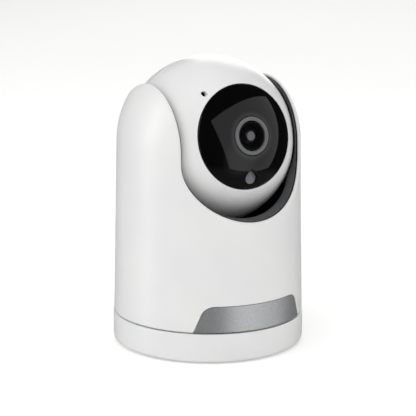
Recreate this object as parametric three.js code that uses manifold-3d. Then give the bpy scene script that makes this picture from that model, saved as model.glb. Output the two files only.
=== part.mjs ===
// A pan and tilt indoor security camera, in millimetres, standing on z = 0 and looking towards -Y.
// A still base carries a turning body with two rounded ears. A ball head tilts between the ears.
import * as THREE from "three";
import { mergeVertices, toCreasedNormals } from "three/addons/utils/BufferGeometryUtils.js";
import Module from "manifold-3d";

const wasm = await Module();
wasm.setup();

// Driving dimensions
const baseRadius = 39.3;
const baseTop = 12.4;
const baseUnderside = 0.6;
const bodyBottom = 12.9;
const bodyRadius = 39;
const domeRadius = 37.6;
const axisHeight = 83.5;
const shellWall = 1.1;
const ballRadius = 34.6;
const ballWall = 1.8;
const tiltUp = 12;
const earInner = 27.3;
const scoopCentre = 79.8;
const scoopDepth = 23.2;
const scoopWall = 7;
const rearScoopCentre = 90;
const rearScoopDepth = 16;
const linerOuter = 36.1;
const linerInner = 35.3;
const linerLip = 0.5;
const windowRadius = 21;
const dropCentre = -15.5;
const lensRingOuter = 7.6;
const lensRingInner = 6;
const gearModule = 0.74;
const panGearTeeth = 40;
const tiltGearTeeth = 20;
const pinionTeeth = 10;
const gap = 0.3;

const panCentreDistance = (gearModule * (panGearTeeth + pinionTeeth)) / 2;
const tiltCentreDistance = (gearModule * (tiltGearTeeth + pinionTeeth)) / 2;
const degree = Math.PI / 180;

// Materials
function material(colour, roughness, metalness) {
  return new THREE.MeshStandardMaterial({ color: colour, roughness, metalness });
}

const whitePlastic = () => material("#e9e9e8", 0.35, 0);
const greyPlastic = () => material("#57585a", 0.55, 0);
const blackPlastic = () => material("#111113", 0.5, 0);
const glossBlack = () => material("#060607", 0.06, 0);
const ringGrey = () => material("#6d6e6f", 0.4, 0.1);
const silverPaint = () => material("#a3a5a7", 0.32, 0.8);
const steel = () => material("#a8aaad", 0.35, 1);
const brass = () => material("#b39a5a", 0.4, 1);
const nylon = () => material("#dedacd", 0.6, 0);
const circuitGreen = () => material("#1d5a36", 0.5, 0);
const rubber = () => material("#2b2b2c", 0.9, 0);
const glass = () => material("#1b2230", 0.03, 0);
const ledClear = () => material("#3a2430", 0.1, 0);

// Solids: a three.js geometry becomes a solid for joining and cutting, and goes back to a mesh.
function solid(geometry) {
  const plain = geometry.clone();
  plain.deleteAttribute("normal");
  plain.deleteAttribute("uv");
  const merged = mergeVertices(plain, 1e-4);
  const index = merged.index.array;
  const kept = [];
  for (let i = 0; i < index.length; i += 3) {
    const [a, b, c] = [index[i], index[i + 1], index[i + 2]];
    if (a !== b && b !== c && a !== c) kept.push(a, b, c);
  }
  return new wasm.Manifold(
    new wasm.Mesh({
      numProp: 3,
      vertProperties: Float32Array.from(merged.attributes.position.array),
      triVerts: Uint32Array.from(kept),
    }),
  );
}

function geometryOf(made) {
  const mesh = made.getMesh();
  const geometry = new THREE.BufferGeometry();
  geometry.setAttribute("position", new THREE.BufferAttribute(mesh.vertProperties, 3));
  geometry.setIndex(new THREE.BufferAttribute(mesh.triVerts, 1));
  return toCreasedNormals(geometry, 35 * degree);
}

function piece(name, made, finish) {
  const mesh = new THREE.Mesh(geometryOf(made), finish);
  mesh.name = name;
  return mesh;
}

function cutFrom(body, ...cutters) {
  return cutters.reduce((left, cutter) => left.subtract(cutter), body);
}

function joined(...bodies) {
  return bodies.reduce((whole, body) => whole.add(body));
}

// A turned solid about Z. The outline is a loop of [radius, height], outer side going up.
function turned(outline, segments = 32) {
  const points = outline.map(([r, z]) => new THREE.Vector2(r, z));
  points.push(points[0].clone());
  return solid(new THREE.LatheGeometry(points, segments).rotateX(Math.PI / 2));
}

// A turned solid about the lens axis. The outline is a loop of [radius, y], outer side going back.
function turnedAlongY(outline, segments = 32) {
  const points = outline.map(([r, y]) => new THREE.Vector2(r, y));
  points.push(points[0].clone());
  return solid(new THREE.LatheGeometry(points, segments));
}

function arc(radius, centre, from, to, steps) {
  return Array.from({ length: steps + 1 }, (_, i) => {
    const angle = from + ((to - from) * i) / steps;
    return [radius * Math.cos(angle), centre + radius * Math.sin(angle)];
  });
}

function box(sx, sy, sz, x, y, z) {
  return solid(new THREE.BoxGeometry(sx, sy, sz).translate(x, y, z));
}

function rod(radius, from, to, x = 0, y = 0, segments = 16) {
  const height = to - from;
  const geometry = new THREE.CylinderGeometry(radius, radius, height, segments);
  return solid(geometry.rotateX(Math.PI / 2).translate(x, y, from + height / 2));
}

function rodAlongY(radius, from, to, x = 0, z = 0, segments = 16) {
  const length = to - from;
  const geometry = new THREE.CylinderGeometry(radius, radius, length, segments);
  return solid(geometry.translate(x, from + length / 2, z));
}

function rodAlongX(radius, from, to, y = 0, z = 0, segments = 16) {
  const length = to - from;
  const geometry = new THREE.CylinderGeometry(radius, radius, length, segments);
  return solid(geometry.rotateZ(Math.PI / 2).translate(from + length / 2, y, z));
}

function tube(outer, inner, from, to, segments = 28) {
  const outline = [
    [inner, from],
    [outer, from],
    [outer, to],
    [inner, to],
  ];
  return turned(outline, segments);
}

// An outline in X and Z, pushed along Y from one depth to another.
function pushedAlongY(shape, from, to, curveSegments = 16) {
  const geometry = new THREE.ExtrudeGeometry(shape, {
    depth: to - from,
    bevelEnabled: false,
    curveSegments,
  });
  return solid(geometry.rotateX(Math.PI / 2).translate(0, to, 0));
}

// The U-shaped outline of the scoop, opened out by some offset.
function scoopShape(centre, depth, offset = 0) {
  const half = earInner + offset;
  const shape = new THREE.Shape();
  shape.moveTo(half, 130);
  shape.lineTo(-half, 130);
  shape.lineTo(-half, centre);
  shape.absellipse(0, centre, half, depth + offset, Math.PI, 2 * Math.PI, false);
  shape.closePath();
  return shape;
}

function frontScoop(offset = 0, from = -60, to = 2) {
  return pushedAlongY(scoopShape(scoopCentre, scoopDepth, offset), from, to, 12);
}

function rearScoop(offset = 0) {
  return pushedAlongY(scoopShape(rearScoopCentre, rearScoopDepth, offset), 0, 60, 8);
}

function radiusAt(height) {
  const share = (height - bodyBottom) / (axisHeight - bodyBottom);
  return bodyRadius + (domeRadius - bodyRadius) * share;
}

// A spur gear about Z with plain tapered teeth and running clearance.
function gear(teeth, width, boreRadius, turn = 0) {
  const pitch = (gearModule * teeth) / 2;
  const step = (2 * Math.PI) / teeth;
  const corners = [
    [pitch - 1.15 * gearModule, -0.27],
    [pitch + 0.7 * gearModule, -0.12],
    [pitch + 0.7 * gearModule, 0.12],
    [pitch - 1.15 * gearModule, 0.27],
  ];
  const shape = new THREE.Shape();
  for (let tooth = 0; tooth < teeth; tooth += 1) {
    corners.forEach(([radius, share], i) => {
      const angle = turn + (tooth + share) * step;
      const x = radius * Math.cos(angle);
      const y = radius * Math.sin(angle);
      if (tooth === 0 && i === 0) shape.moveTo(x, y);
      else shape.lineTo(x, y);
    });
  }
  shape.closePath();
  const blank = solid(new THREE.ExtrudeGeometry(shape, { depth: width, bevelEnabled: false }));
  return boreRadius > 0 ? blank.subtract(rod(boreRadius, -1, width + 1, 0, 0, 20)) : blank;
}

// A pan-head screw about Z with its head up and a cross recess.
function screw(headRadius, headHeight, shankRadius, shankLength) {
  const head = rod(headRadius, 0, headHeight, 0, 0, 14);
  const shank = rod(shankRadius, -shankLength, 0.1, 0, 0, 8);
  const slotWidth = headRadius * 0.28;
  const slotLength = headRadius * 1.2;
  const slotDepth = headHeight * 0.5;
  const slotTop = headHeight - slotDepth / 2 + 0.1;
  const slot = box(slotLength, slotWidth, slotDepth + 0.2, 0, 0, slotTop);
  const cross = box(slotWidth, slotLength, slotDepth + 0.2, 0, 0, slotTop);
  return cutFrom(joined(head, shank), slot, cross);
}

// Base

function baseCup() {
  const inner = baseRadius - 2;
  const outline = [
    [0, baseUnderside],
    [37.6, baseUnderside],
    [38.8, baseUnderside + 0.6],
    [baseRadius, baseUnderside + 2.1],
    [baseRadius, baseTop - 0.4],
    [baseRadius - 0.4, baseTop],
    [inner, baseTop],
    [inner, 2.6],
    [12, 2.6],
    [12, 7.5],
    [9, 7.5],
    [9, 13.3],
    [8.7, 13.3],
    [8.7, 16],
    [5, 16],
    [5, 2.6],
    [0, 2.6],
  ];
  const blank = turned(outline, 40);
  const footGroove = tube(34.6, 28.4, -1, baseUnderside + 0.8, 32);
  const inletMouth = box(12, 8, 6.5, 0, 38, 6.3);
  const screwHoles = [0, 1, 2].map((i) => {
    const angle = (90 + 120 * i) * degree;
    return rod(0.9, 8, 17, 6.9 * Math.cos(angle), 6.9 * Math.sin(angle), 8);
  });
  return piece("base_cup", cutFrom(blank, footGroove, inletMouth, ...screwHoles), whitePlastic());
}

function footRing() {
  return piece("rubber_foot_ring", tube(34.3, 28.7, 0, baseUnderside + 0.6, 32), rubber());
}

function fixedPanGear() {
  const mesh = piece("fixed_pan_gear", gear(panGearTeeth, 3, 9.3), nylon());
  mesh.position.set(0, 0, 7.8);
  return mesh;
}

function thrustWasher() {
  return piece("pan_thrust_washer", tube(12.6, 9.4, 11.1, 13.3, 20), nylon());
}

function hubRetainer() {
  const plate = tube(13, 5.3, 16.3, 17.7, 20);
  const holes = [0, 1, 2].map((i) => {
    const angle = (90 + 120 * i) * degree;
    return rod(1.2, 16, 18, 6.9 * Math.cos(angle), 6.9 * Math.sin(angle), 8);
  });
  return piece("hub_retainer", cutFrom(plate, ...holes), steel());
}

function retainerScrew(number) {
  const angle = (90 + 120 * (number - 1)) * degree;
  const mesh = piece(`retainer_screw_${number}`, screw(1.5, 1.1, 0.65, 6), steel());
  mesh.position.set(6.9 * Math.cos(angle), 6.9 * Math.sin(angle), 18);
  return mesh;
}

function powerBoard() {
  return piece("power_board", box(24, 16, 1.2, 0, 27, 3.6), circuitGreen());
}

function powerSocket() {
  const shell = box(7.8, 6, 2.8, 0, 33.2, 5.95);
  const hollow = box(7, 5, 2, 0, 34.2, 5.95);
  const tongue = box(4.6, 4.2, 0.7, 0, 33.1, 6.1);
  return piece("power_socket", joined(shell.subtract(hollow), tongue), steel());
}

function powerRegulator() {
  return piece("power_regulator", box(5, 4, 1.5, -7.5, 27, 5.25), blackPlastic());
}

// Turning body

function bodyShell() {
  const inner = domeRadius - shellWall;
  const outline = [
    [bodyRadius - 0.3, bodyBottom],
    [bodyRadius, bodyBottom + 0.3],
    ...arc(domeRadius, axisHeight, 0, Math.PI / 2, 8),
    ...arc(inner, axisHeight, Math.PI / 2, 0, 8),
    [37.1, bodyBottom],
  ];
  const bosses = [30, 150, 270].map((turn) => {
    const x = 34 * Math.cos(turn * degree);
    const y = 34 * Math.sin(turn * degree);
    const web = box(5.6, 4, 9, 35.4, 0, 20.5).rotate([0, 0, turn]);
    const boss = joined(rod(2.8, 16, 25, x, y, 12), web);
    const trimmed = boss.intersect(rod(37.6, 10, 30, 0, 0, 40));
    return trimmed.subtract(rod(1.3, 15, 23.5, x, y, 8));
  });
  const solidBody = joined(turned(outline, 48), ...bosses);
  const panelSeat = trimPanelBlank(0.25, 1.15, 4);
  const grille = [0, 1, 2, 3, 4].map((i) => {
    const width = [12, 16, 18, 16, 12][i];
    return box(width, 8, 1.2, 0, 37, 20 + 2.6 * i);
  });
  const cardSlot = box(12.4, 8, 1.8, 0, 37, 37.1);
  const resetHole = rodAlongY(1.8, 30, 45, 12.5, 37.4, 16);
  const openings = [frontScoop(), rearScoop(), panelSeat, ...grille, cardSlot, resetHole];
  return piece("body_shell", cutFrom(solidBody, ...openings), whitePlastic());
}

// A slab that follows the body's skin, cut to the trim panel's outline.
function trimPanelBlank(grow, depth, proud) {
  const bottom = grow > 0 ? bodyBottom - 1 : bodyBottom + 0.1;
  const half = 24.7 + grow + 0.37 * (bodyBottom + 0.1 - bottom);
  const shoulder = 21.2 + grow;
  const top = 23.5 + grow;
  const corner = 3.2;
  const shape = new THREE.Shape();
  shape.moveTo(-half, bottom);
  shape.lineTo(half, bottom);
  shape.lineTo(shoulder + 0.5, top - corner);
  shape.quadraticCurveTo(shoulder - 0.2, top, shoulder - corner, top);
  shape.lineTo(-shoulder + corner, top);
  shape.quadraticCurveTo(-shoulder + 0.2, top, -shoulder - 0.5, top - corner);
  shape.closePath();
  const low = 10;
  const high = 30;
  const ring = turned(
    [
      [radiusAt(low) - depth, low],
      [radiusAt(low) + proud, low],
      [radiusAt(high) + proud, high],
      [radiusAt(high) - depth, high],
    ],
    60,
  );
  return ring.intersect(pushedAlongY(shape, -60, 0, 8));
}

function trimPanel() {
  return piece("front_trim_panel", trimPanelBlank(0, 0.9, 0.05), silverPaint());
}

// The grey lining of the ears and the short wall that follows the scoop's edge inwards.
// Its edge stands a little inside the shell's own edge and shows as a thin line.
function scoopLiner() {
  const outline = [
    ...arc(linerOuter, axisHeight, -0.6, 0.85, 7),
    ...arc(linerInner, axisHeight, 0.85, -0.6, 7),
  ];
  const lining = cutFrom(turned(outline, 36), frontScoop(-linerLip), rearScoop(-linerLip));
  const inside = radiusAt(40) - shellWall;
  const room = turned(
    [
      [0, 40],
      [inside - 0.75, 40],
      [linerOuter - 0.1, axisHeight],
      [0, axisHeight],
    ],
    36,
  );
  const depthLimit = turned(
    [
      [0, 40],
      [radiusAt(40), 40],
      [domeRadius, axisHeight],
      [0, axisHeight],
    ],
    36,
  ).translate([0, scoopWall, 0]);
  const ballGeometry = new THREE.SphereGeometry(linerInner, 32, 20);
  const ballRoom = solid(ballGeometry.translate(0, 0, axisHeight));
  const band = cutFrom(frontScoop(1.4, -60, -10), frontScoop(-linerLip, -61, -9));
  const wall = cutFrom(band.intersect(room), depthLimit, ballRoom);
  const pinHoles = [
    rodAlongX(3.3, -40, -30, 0, axisHeight),
    rodAlongX(3.3, 30, 40, 0, axisHeight),
  ];
  return piece("scoop_liner", cutFrom(joined(lining, wall), ...pinHoles), greyPlastic());
}

// The black cup under the ball that hides the electronics.
function headCup() {
  const outline = [
    [8, 45],
    [20, 45],
    [28.6, 50.5],
    [33.4, 57],
    [34.6, 62],
    [33.6, 62],
    [32.4, 57.4],
    [27.8, 51.4],
    [19.6, 46.2],
    [8, 46.2],
  ];
  const keepBack = frontScoop(1.7, -60, -20);
  return piece("head_cup", cutFrom(turned(outline, 28), keepBack), blackPlastic());
}

function turntable() {
  const outline = [
    [9.1, 13.6],
    [35.6, 13.6],
    [35.6, 15.6],
    [9.1, 15.6],
  ];
  const corners = [
    [-19.5, -17.8],
    [19.5, -17.8],
    [-19.5, 17.8],
    [19.5, 17.8],
  ];
  const posts = corners.map(([x, y]) => rod(2.4, 15.5, 33.7, x, y, 12));
  const screwCuts = [30, 150, 270].flatMap((turn) => {
    const x = 34 * Math.cos(turn * degree);
    const y = 34 * Math.sin(turn * degree);
    return [rod(1.6, 13, 16, x, y, 12), rod(3.1, 15.4, 16, x, y, 16)];
  });
  const shaftHole = rod(2.6, 13, 16, -panCentreDistance, 0, 20);
  const whole = joined(turned(outline, 28), ...posts);
  return piece("turntable", cutFrom(whole, shaftHole, ...screwCuts), blackPlastic());
}

function turntableScrew(number) {
  const turn = [30, 150, 270][number - 1];
  const made = screw(2.4, 1.4, 1, 9).rotate([180, 0, 0]);
  const mesh = piece(`turntable_screw_${number}`, made, steel());
  mesh.position.set(34 * Math.cos(turn * degree), 34 * Math.sin(turn * degree), 13.3);
  return mesh;
}

// A small stepper can about Z with its shaft hole off centre and two fixing ears.
function stepperMotor(radius, height, shaftOffset) {
  const can = rod(radius, 0, height, 0, 0, 20);
  const flange = box(6, 2 * radius + 7, 0.8, 0, 0, 0.4);
  const ends = [-1, 1].map((side) => rod(3, 0, 0.8, 0, side * (radius + 3.5), 14));
  const holes = [-1, 1].map((side) => rod(1.3, -1, 2, 0, side * (radius + 3.5), 10));
  const shaftHole = rod(1.9, -1, height - 3, shaftOffset, 0, 20);
  const connector = box(4, 6, height * 0.5, -radius - 0.6, 0, height * 0.6);
  return cutFrom(joined(can, flange, ...ends, connector), ...holes, shaftHole);
}

function panMotor() {
  const mesh = piece("pan_motor", stepperMotor(9, 12, 4.6), steel());
  mesh.position.set(-panCentreDistance - 4.6, 0, 15.9);
  return mesh;
}

// The pinion's teeth straddle the line of centres where the fixed gear has a tooth.
function panPinion() {
  const teeth = gear(pinionTeeth, 3, 0, Math.PI / pinionTeeth);
  const shaft = rod(1.5, 2.9, 14, 0, 0, 12);
  const mesh = piece("pan_pinion", joined(teeth, shaft), brass());
  mesh.position.set(-panCentreDistance, 0, 7.8);
  return mesh;
}

function mainBoard() {
  const board = box(46, 40, 1.6, 0, 0, 34.8);
  const hole = rod(4, 33, 37, 0, 12, 24);
  return piece("main_board", board.subtract(hole), circuitGreen());
}

function mainProcessor() {
  return piece("main_processor", box(12, 12, 1.2, -6, -6, 36.5), blackPlastic());
}

function wifiModule() {
  return piece("wifi_module", box(15, 12, 2.2, 13, -10, 37), steel());
}

function cardSocket() {
  const shell = box(14, 15, 2, 0, 27.5, 37.1);
  const slot = box(11.4, 13, 1, 0, 29.5, 37.1);
  const tab = box(16, 6, 0.6, 0, 22.8, 36.4);
  return piece("memory_card_socket", cutFrom(joined(shell, tab), slot), steel());
}

function resetButton() {
  const stem = rodAlongY(1.4, 27, 36.6, 12.5, 37.4, 14);
  const collar = rodAlongY(2.3, 31, 32, 12.5, 37.4, 14);
  return piece("reset_button", joined(stem, collar), greyPlastic());
}

function resetSwitch() {
  return piece("reset_switch", box(5, 5, 4, 12.5, 23.2, 37.9), blackPlastic());
}

function speaker() {
  const basket = rodAlongY(9, 27, 32.6, 0, 25.2, 28);
  const coneOutline = [
    [0, 31],
    [7.8, 32.8],
    [0, 32.8],
  ];
  const cone = turnedAlongY(coneOutline, 24).translate([0, 0, 25.2]);
  return piece("speaker", cutFrom(basket, cone), blackPlastic());
}

function wifiAntenna() {
  return piece("wifi_antenna", box(22, 0.5, 7, 0, -33.5, 38), brass());
}

function tiltPin(side) {
  const name = side < 0 ? "tilt_pin_left" : "tilt_pin_right";
  const inner = side < 0 ? 27.4 : 20.6;
  const made = rodAlongX(3, inner, 35.6, 0, 0, 20);
  const mesh = piece(name, side < 0 ? made.rotate([0, 0, 180]) : made, steel());
  mesh.position.set(0, 0, axisHeight);
  return mesh;
}

function fixedTiltGear() {
  const made = gear(tiltGearTeeth, 3, 3.3).rotate([0, 90, 0]);
  const mesh = piece("fixed_tilt_gear", made, nylon());
  mesh.rotation.x = -tiltUp * degree;
  mesh.position.set(21.4, 0, axisHeight);
  return mesh;
}

// Tilting head, drawn level with the lens looking along -Y and its centre at the origin.

function headFrontShell() {
  const start = -Math.acos(windowRadius / ballRadius);
  const innerStart = -Math.acos(windowRadius / (ballRadius - ballWall));
  const split = 0.15;
  const outer = arc(ballRadius, 0, start, -split / ballRadius, 7);
  const inner = arc(ballRadius - ballWall, 0, -split / ballRadius, innerStart, 5);
  const shell = turnedAlongY([...outer, ...inner], 36);
  const micHole = rodAlongY(1.1, -40, -15, -14.7, 18.2, 16);
  const pinHole = rodAlongX(3.6, -40, 40, 0, 0, 24);
  return piece("head_front_shell", cutFrom(shell, micHole, pinHole), whitePlastic());
}

function headRearShell() {
  const split = 0.15;
  const outer = arc(ballRadius, 0, split / ballRadius, Math.PI / 2, 7);
  const inner = arc(ballRadius - ballWall, 0, Math.PI / 2, split / ballRadius, 4);
  const shell = turnedAlongY([...outer, ...inner], 36);
  const ball = solid(new THREE.SphereGeometry(ballRadius - 0.6, 24, 16));
  const bosses = [-1, 1].map((side) => rodAlongY(3.4, 1, 34, side * 13, -19, 14).intersect(ball));
  const bores = [-1, 1].map((side) => rodAlongY(1.4, 0, 40, side * 13, -19, 10));
  const seats = [-1, 1].map((side) => rodAlongY(2.6, 20.2, 40, side * 13, -19, 14));
  const pinHole = rodAlongX(3.6, -40, 40, 0, 0, 24);
  const whole = joined(shell, ...bosses);
  return piece("head_rear_shell", cutFrom(whole, ...bores, ...seats, pinHole), whitePlastic());
}

function headScrew(side) {
  const name = side < 0 ? "head_screw_left" : "head_screw_right";
  const mesh = piece(name, screw(2.2, 1.4, 1, 23).rotate([-90, 0, 0]), steel());
  mesh.position.set(side * 13, 20.5, -19);
  return mesh;
}

// A drop outline, round below and pointed above, about the light sensor's centre.
function dropShape(grow) {
  const radius = 2.65 + grow;
  const tip = 2.6 + grow * 1.4;
  const shape = new THREE.Shape();
  shape.moveTo(0, tip);
  shape.quadraticCurveTo(-radius * 0.95, 0.9, -radius, -0.7);
  shape.absarc(0, -0.7, radius, Math.PI, 2 * Math.PI, false);
  shape.quadraticCurveTo(radius * 0.95, 0.9, 0, tip);
  return shape;
}

// The dark window, with a collar behind its drop opening that shades the light sensor's guide.
function frontWindow() {
  const edge = windowRadius - gap;
  const bore = lensRingOuter + gap;
  const outer = arc(ballRadius, 0, -Math.acos(bore / ballRadius), -Math.acos(edge / ballRadius), 5);
  const back = ballRadius - 1.4;
  const inner = arc(back, 0, -Math.acos(edge / back), -Math.acos(bore / back), 3);
  const room = solid(new THREE.SphereGeometry(ballRadius - 0.8, 32, 20));
  const collar = pushedAlongY(dropShape(0.9), -33, -26.5, 6).translate([0, 0, dropCentre]);
  const drop = pushedAlongY(dropShape(0.2), -60, 0, 6).translate([0, 0, dropCentre]);
  const whole = joined(turnedAlongY([...outer, ...inner], 36), collar.intersect(room));
  return piece("front_window", whole.subtract(drop), glossBlack());
}

function lensRing() {
  const outline = [
    [lensRingInner, -33.8],
    [lensRingInner + 0.25, -34.05],
    [lensRingOuter - 0.3, -34.05],
    [lensRingOuter, -33.8],
    [lensRingOuter, -30.8],
    [lensRingInner, -30.8],
  ];
  return piece("lens_ring", turnedAlongY(outline, 32), ringGrey());
}

function lensHood() {
  const outer = lensRingInner - gap;
  const outline = [
    [outer - 0.4, -33.5],
    [outer, -33.5],
    [outer, -30.6],
    [3.9, -30.6],
    [3.9, -31.6],
  ];
  return piece("lens_hood", turnedAlongY(outline, 24), blackPlastic());
}

function lensBarrel() {
  const outline = [
    [3.7, -30.3],
    [6.6, -30.3],
    [6.6, -24],
    [6, -24],
    [6, -12],
    [3.3, -12],
    [3.3, -29],
    [3.7, -29],
  ];
  return piece("lens_barrel", turnedAlongY(outline, 20), blackPlastic());
}

function frontLens() {
  const cap = Array.from({ length: 5 }, (_, i) => {
    const r = (3.5 * i) / 4;
    return [r, -33.3 + 0.12 * r * r];
  });
  return piece("front_lens", turnedAlongY([...cap, [3.5, -29.4], [0, -29.4]], 20), glass());
}

function rearLens() {
  const cap = Array.from({ length: 4 }, (_, i) => {
    const r = (3 * i) / 3;
    return [r, -16 + 0.06 * r * r];
  });
  return piece("rear_lens", turnedAlongY([...cap, [3, -13.4], [0, -13.4]], 14), glass());
}

function lensHolder() {
  const block = box(24, 9, 17, 0, -11.3, 0);
  const bore = rodAlongY(6.3, -18, -11.2, 0, 0, 32);
  const filterRoom = box(21, 4, 10.6, 0, -9.4, 0);
  const sensorRoom = box(12, 4, 12, 0, -7.4, 0);
  return piece("lens_holder", cutFrom(block, bore, filterRoom, sensorRoom), blackPlastic());
}

function infraredFilter() {
  const frame = box(15, 0.8, 9.6, -2.6, -10.4, 0);
  const pane = box(6, 0.4, 7, -5.4, -10.7, 0);
  return piece("infrared_filter_slider", frame.subtract(pane.translate([0, -0.2, 0])), glass());
}

function sensorBoard() {
  return piece("sensor_board", box(34, 1.2, 26, 0, -5.9, 0), circuitGreen());
}

function imageSensor() {
  return piece("image_sensor", box(8, 0.9, 7, 0, -7.2, 0), glass());
}

function headBracket() {
  const plate = box(38, 1.8, 46, 0, -3.9, 0);
  const trims = [-1, 1].map((side) => box(10, 4, 12, side * 17, -3.9, 0));
  const window = box(12, 4, 10, 0, -3.9, 0);
  const arms = [-1, 1].map((side) => rodAlongY(1.8, -24.4, -4.5, side * 9.5, 15.6, 12));
  const feet = [-1, 1].map((side) => rodAlongY(3, -3.5, 0.6, side * 13, -19, 14));
  const bores = [-1, 1].map((side) => rodAlongY(1.3, -4, 1, side * 13, -19, 10));
  const frameBody = joined(cutFrom(plate, ...trims, window), ...arms, ...feet);
  return piece("head_bracket", cutFrom(frameBody, ...bores), blackPlastic());
}

function infraredBoard() {
  const outline = [
    [8.2, -25.9],
    [18.6, -25.9],
    [18.6, -24.7],
    [8.2, -24.7],
  ];
  return piece("infrared_board", turnedAlongY(outline, 28), circuitGreen());
}

function infraredLed(number) {
  const angle = [-30, 18, 66, 114, 162, 210][number - 1] * degree;
  const outline = [
    [0, -29.2],
    [0.9, -29],
    [1.5, -28.4],
    [1.6, -27.6],
    [1.6, -26.2],
    [0, -26.2],
  ];
  const mesh = piece(`infrared_led_${number}`, turnedAlongY(outline, 10), ledClear());
  mesh.position.set(13.6 * Math.cos(angle), 0, 13.6 * Math.sin(angle));
  return mesh;
}

function lightSensorGuide() {
  const made = pushedAlongY(dropShape(0), -29, -26.2, 6).translate([0, 0, dropCentre]);
  return piece("light_sensor_guide", made, ringGrey());
}

function microphone() {
  const made = rodAlongY(2, -20.6, -18.4, -14.7, 18.2, 16);
  return piece("microphone", made, steel());
}

function tiltMotor() {
  const made = stepperMotor(8, 12, 4).rotate([0, -90, 0]);
  const mesh = piece("tilt_motor", made, steel());
  mesh.position.set(17, tiltCentreDistance, -4);
  return mesh;
}

function tiltPinion() {
  const teeth = gear(pinionTeeth, 3, 0);
  const shaft = rod(1.4, -9, 0.1, 0, 0, 12);
  const mesh = piece("tilt_pinion", joined(teeth, shaft).rotate([0, 90, 0]), brass());
  mesh.position.set(21.4, tiltCentreDistance, 0);
  return mesh;
}

function tiltBearing(side) {
  const name = side < 0 ? "tilt_bearing_left" : "tilt_bearing_right";
  const ring = tube(5.4, 3.05, 28, 31, 20).rotate([0, 90, 0]);
  const mesh = piece(name, side < 0 ? ring.rotate([0, 0, 180]) : ring, brass());
  return mesh;
}

function base() {
  const group = new THREE.Group();
  group.name = "base";
  group.add(baseCup(), footRing(), fixedPanGear(), thrustWasher(), hubRetainer());
  group.add(powerBoard(), powerSocket(), powerRegulator());
  [1, 2, 3].forEach((number) => group.add(retainerScrew(number)));
  return group;
}

function turningBody() {
  const group = new THREE.Group();
  group.name = "turning_body";
  group.add(bodyShell(), trimPanel(), scoopLiner(), headCup(), turntable());
  group.add(panMotor(), panPinion(), mainBoard(), mainProcessor(), wifiModule());
  group.add(cardSocket(), resetButton(), resetSwitch(), speaker(), wifiAntenna());
  group.add(tiltPin(-1), tiltPin(1), fixedTiltGear());
  [1, 2, 3].forEach((number) => group.add(turntableScrew(number)));
  return group;
}

function tiltingHead() {
  const group = new THREE.Group();
  group.name = "tilting_head";
  group.add(headFrontShell(), headRearShell(), frontWindow(), lensRing(), lensHood());
  group.add(lensBarrel(), frontLens(), rearLens(), lensHolder(), infraredFilter());
  group.add(sensorBoard(), imageSensor(), headBracket(), infraredBoard());
  group.add(lightSensorGuide(), microphone(), tiltMotor(), tiltPinion());
  group.add(tiltBearing(-1), tiltBearing(1), headScrew(-1), headScrew(1));
  [1, 2, 3, 4, 5, 6].forEach((number) => group.add(infraredLed(number)));
  group.rotation.x = -tiltUp * degree;
  group.position.set(0, 0, axisHeight);
  return group;
}

const camera = new THREE.Group();
camera.name = "security_camera";
camera.add(base(), turningBody(), tiltingHead());

export default camera;
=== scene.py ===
import math

import bpy
import numpy as np
from mathutils import Euler, Matrix, Vector


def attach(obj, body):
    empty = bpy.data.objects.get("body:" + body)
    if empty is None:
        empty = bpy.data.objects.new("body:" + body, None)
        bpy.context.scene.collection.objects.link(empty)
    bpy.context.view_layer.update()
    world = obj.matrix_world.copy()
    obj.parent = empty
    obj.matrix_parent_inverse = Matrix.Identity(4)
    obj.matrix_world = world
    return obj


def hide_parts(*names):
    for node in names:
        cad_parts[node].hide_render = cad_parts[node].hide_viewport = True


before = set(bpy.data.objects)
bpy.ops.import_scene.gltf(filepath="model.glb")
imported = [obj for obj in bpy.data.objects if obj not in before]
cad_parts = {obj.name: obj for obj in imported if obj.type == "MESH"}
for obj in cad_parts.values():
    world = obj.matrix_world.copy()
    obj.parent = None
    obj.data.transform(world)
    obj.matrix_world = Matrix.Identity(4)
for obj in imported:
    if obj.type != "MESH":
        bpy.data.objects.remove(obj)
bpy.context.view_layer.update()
print("frame loaded:", len(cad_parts), "nodes")

mm = 0.001
axisHeight = 83.5
tiltUp = 12
lensAxis = (0, -math.cos(math.radians(tiltUp)), math.sin(math.radians(tiltUp)))
headTilt = Euler((math.radians(-tiltUp), 0, 0)).to_matrix().to_4x4()
headTurn = Matrix.Translation((0, 0, axisHeight * mm)) @ headTilt


cameraSettings = {
    "place": (-0.36689, -0.61171, 0.22188),
    "forward": (0.5006, 0.83509, -0.22809),
    "up": (0.11362, 0.19782, 0.97363),
    "lens": 153.93, "sensor": 36, "near": 0.05, "far": 20,
}


def turnFrom(forward, up):
    back = -Vector(forward).normalized()
    right = Vector(up).cross(back).normalized()
    return Matrix((right, back.cross(right), back)).transposed().to_4x4()


def makeCamera(settings):
    data = bpy.data.cameras.new("viewer")
    data.lens = settings["lens"]
    data.sensor_width = settings["sensor"]
    data.clip_start = settings["near"]
    data.clip_end = settings["far"]
    viewer = bpy.data.objects.new("viewer", data)
    turn = turnFrom(settings["forward"], settings["up"])
    viewer.matrix_world = Matrix.Translation(settings["place"]) @ turn
    bpy.context.scene.collection.objects.link(viewer)
    bpy.context.scene.camera = viewer


makeCamera(cameraSettings)
bpy.context.scene.view_settings.view_transform = "Standard"

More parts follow.
